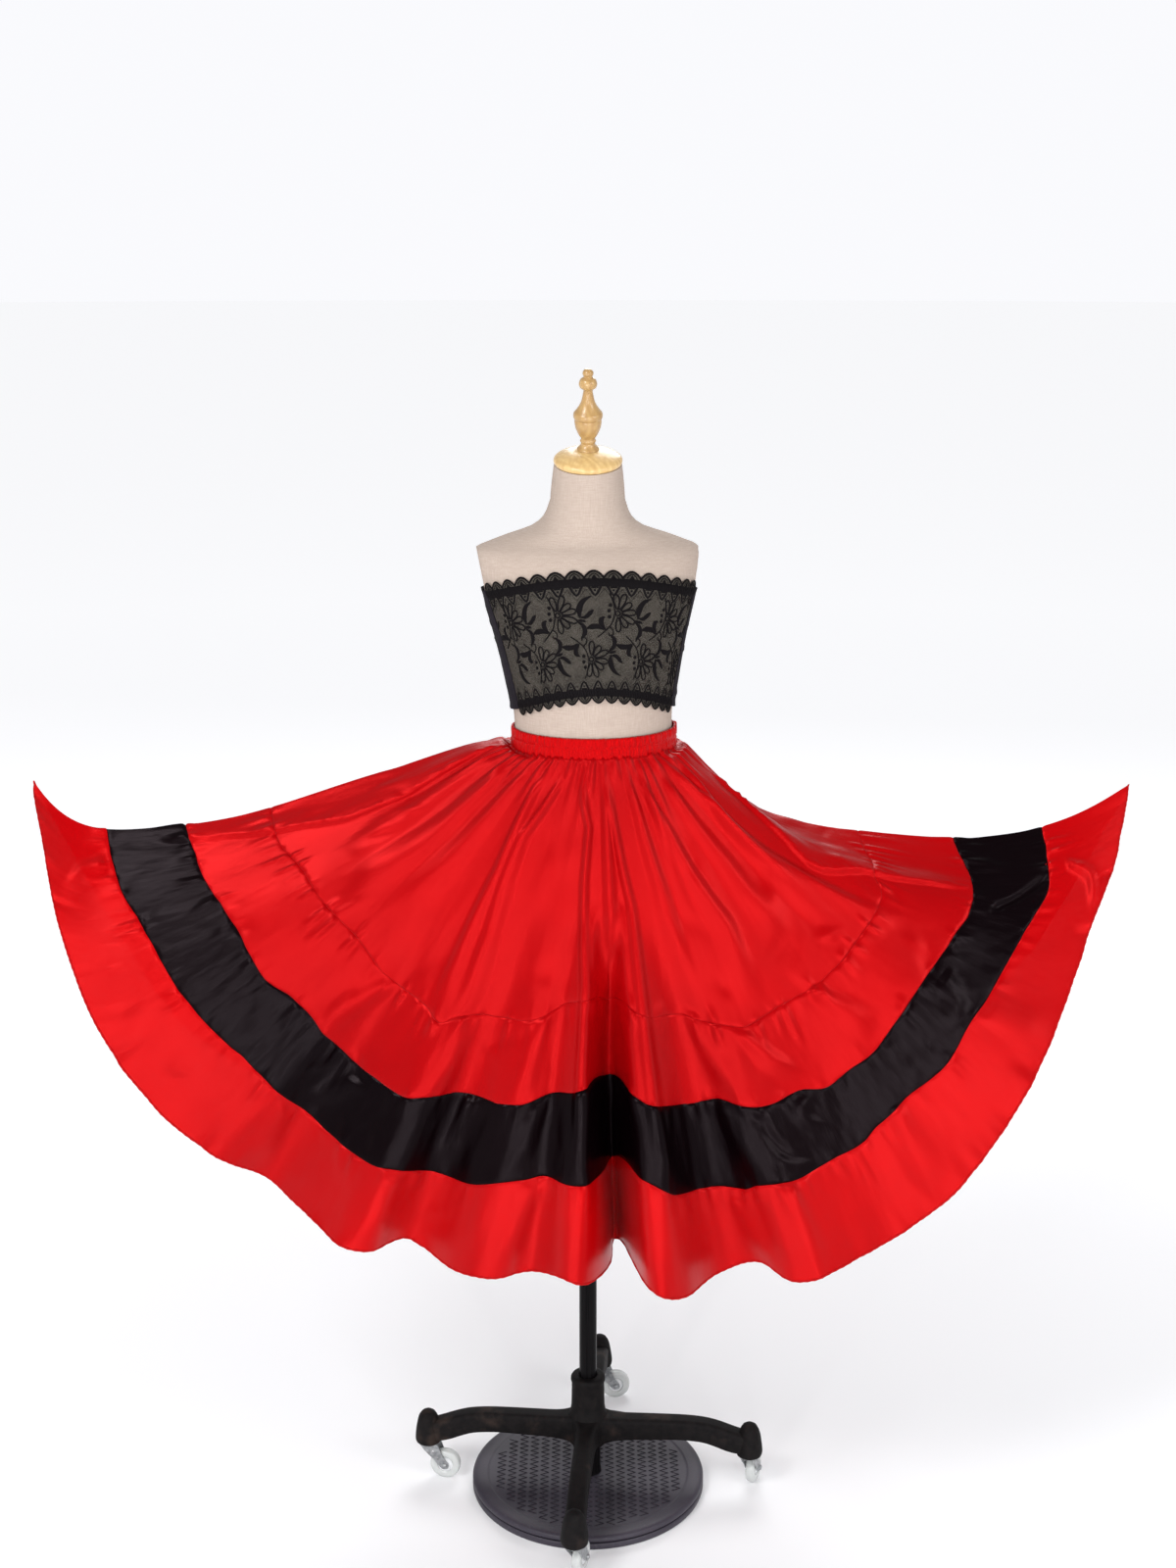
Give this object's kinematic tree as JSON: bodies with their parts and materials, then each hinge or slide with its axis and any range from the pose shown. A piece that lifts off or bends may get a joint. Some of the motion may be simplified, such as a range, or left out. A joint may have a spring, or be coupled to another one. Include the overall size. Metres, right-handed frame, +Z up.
{
  "type": "two-piece flamenco outfit on dress form",
  "caption": "Tiered satin flamenco skirt held out to the sides and lace tube top, on a limbless child dress form with a castor stand.",
  "frame": {"origin": "centre of the ballast plate's underside, on the floor and on the pole's axis", "axes": "+Z up, +X along the spread skirt's width to the viewer's right, +Y from the garment's front to its back"},
  "size_m": [1.2944, 0.4894, 1.4205],
  "materials": {
    "satin_red": "satin",
    "satin_black": "satin",
    "lace_black": "lace",
    "knit_black": "matt",
    "linen": "woven",
    "pale_wood": "varnished",
    "black_steel": "satin",
    "cast_iron": "painted matt",
    "ballast": "matt",
    "zinc": "zinc plated",
    "clear_plastic": "clear moulded plastic"
  },
  "bodies": {
    "root": {"base_casting": "cast_iron", "ballast_post": "black_steel", "ballast_plate_upper": "ballast", "ballast_plate_lower": "ballast", "pole": "black_steel", "form_flange": "black_steel", "form_torso": "linen", "neck_cap": "pale_wood", "finial": "pale_wood", "bandeau_lace_front": "lace_black", "bandeau_back": "knit_black", "skirt_waistband": "satin_red", "skirt_tier_1_front": "satin_red", "skirt_tier_1_back": "satin_red", "skirt_tier_2_front": "satin_red", "skirt_tier_2_back": "satin_red", "skirt_band_front": "satin_black", "skirt_band_back": "satin_black", "skirt_flounce_front": "satin_red", "skirt_flounce_back": "satin_red"},
    "castor_right": {"castor_fork_right": "zinc"},
    "wheel_right": {"castor_wheel_right": "clear_plastic"},
    "castor_back": {"castor_fork_back": "zinc"},
    "wheel_back": {"castor_wheel_back": "clear_plastic"},
    "castor_left": {"castor_fork_left": "zinc"},
    "wheel_left": {"castor_wheel_left": "clear_plastic"},
    "castor_front": {"castor_fork_front": "zinc"},
    "wheel_front": {"castor_wheel_front": "clear_plastic"}
  },
  "joints": [
    {"name": "castor_right_swivel", "type": "hinge", "parent": "root", "child": "castor_right", "pos_m": [0.20686, -0.01628, 0.045], "axis": [0, 0, 1], "continuous": true},
    {"name": "wheel_right_spin", "type": "hinge", "parent": "castor_right", "child": "wheel_right", "pos_m": [0.21438, 0.00439, 0.0195], "axis": [-0.9397, 0.342, 0], "continuous": true},
    {"name": "castor_back_swivel", "type": "hinge", "parent": "root", "child": "castor_back", "pos_m": [0.01628, 0.20686, 0.045], "axis": [0, 0, 1], "continuous": true},
    {"name": "wheel_back_spin", "type": "hinge", "parent": "castor_back", "child": "wheel_back", "pos_m": [0.03823, 0.20839, 0.0195], "axis": [-0.0698, 0.9976, 0], "continuous": true},
    {"name": "castor_left_swivel", "type": "hinge", "parent": "root", "child": "castor_left", "pos_m": [-0.20686, 0.01628, 0.045], "axis": [0, 0, 1], "continuous": true},
    {"name": "wheel_left_spin", "type": "hinge", "parent": "castor_left", "child": "wheel_left", "pos_m": [-0.18507, 0.01322, 0.0195], "axis": [0.1392, 0.9903, 0], "continuous": true},
    {"name": "castor_front_swivel", "type": "hinge", "parent": "root", "child": "castor_front", "pos_m": [-0.01628, -0.20686, 0.045], "axis": [0, 0, 1], "continuous": true},
    {"name": "wheel_front_spin", "type": "hinge", "parent": "castor_front", "child": "wheel_front", "pos_m": [-0.00876, -0.18619, 0.0195], "axis": [-0.9397, 0.342, 0], "continuous": true}
  ]
}
